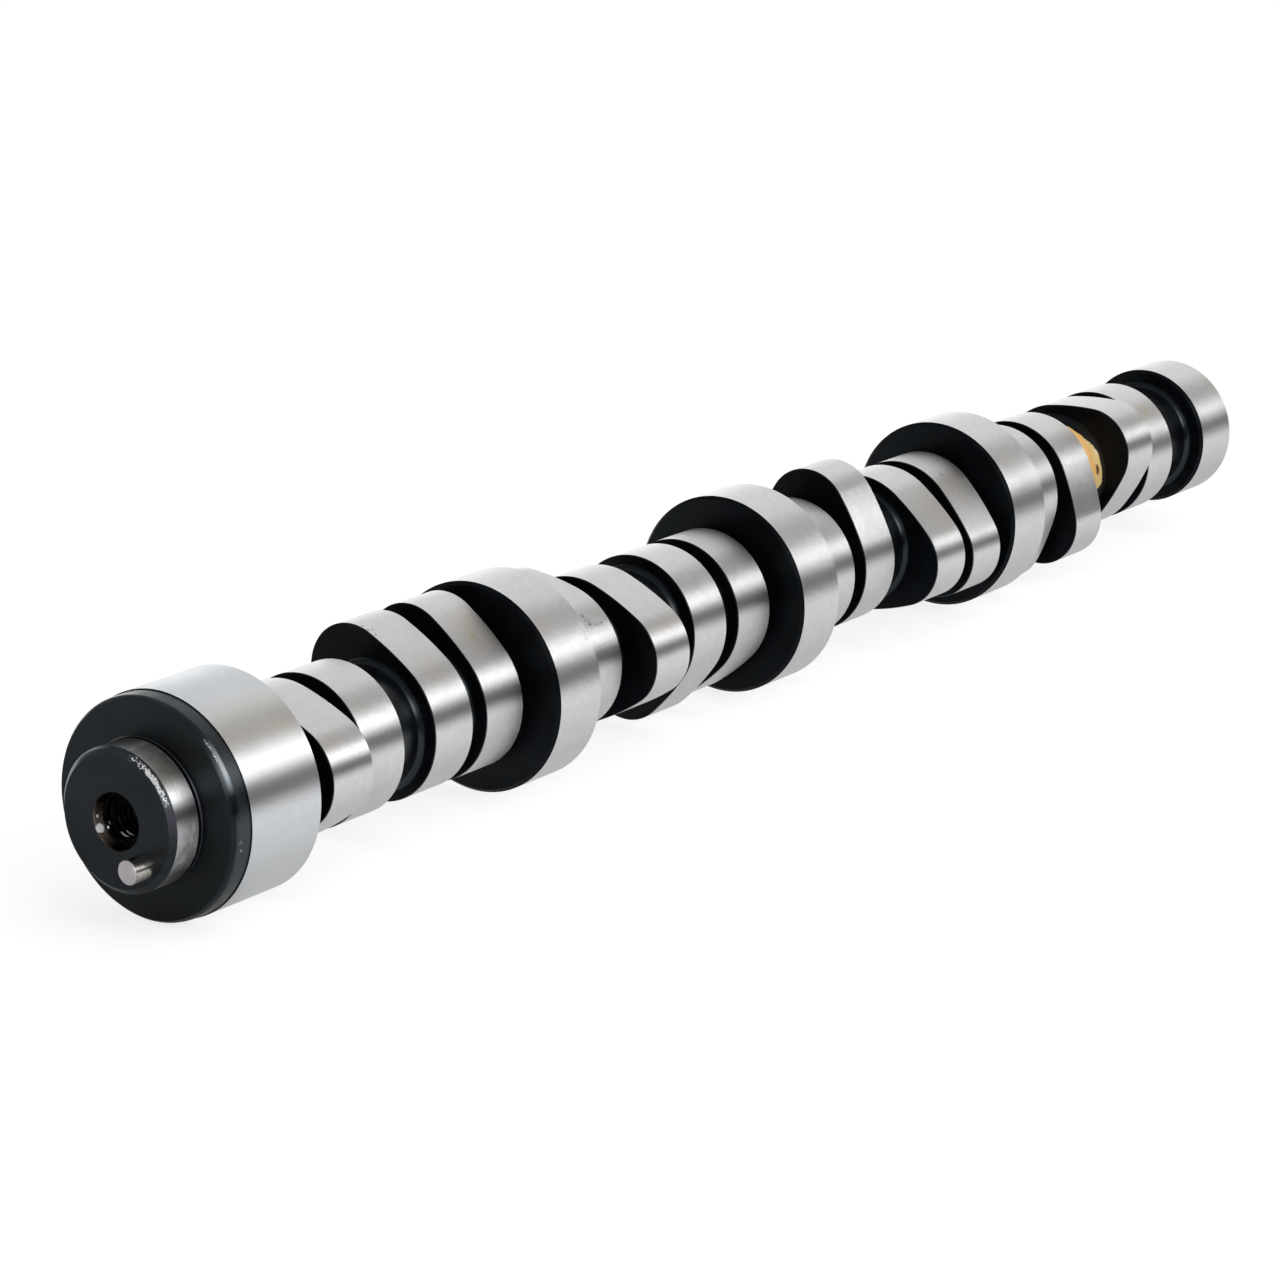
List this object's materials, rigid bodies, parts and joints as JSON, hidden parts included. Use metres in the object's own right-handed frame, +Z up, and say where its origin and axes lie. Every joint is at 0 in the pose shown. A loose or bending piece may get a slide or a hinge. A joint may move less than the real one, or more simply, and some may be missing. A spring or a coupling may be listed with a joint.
{
  "type": "camshaft",
  "caption": "One-piece steel camshaft for a V8 engine, with stepped bearing journals, ground cam lobes, a front snout with a threaded centre hole and a dowel pin.",
  "frame": {"origin": "on the shaft's axis at the middle of the front journal's ground band", "axes": "+X along the shaft from the front snout to the rear end, +Z up"},
  "size_m": [0.5174, 0.0582, 0.0581],
  "materials": {
    "shaft_steel": "ground bands and lobes with a black unground skin between them",
    "dowel_steel": "bright ground"
  },
  "bodies": {
    "root": {"camshaft": "shaft_steel", "dowel_pin": "dowel_steel"}
  },
  "joints": []
}
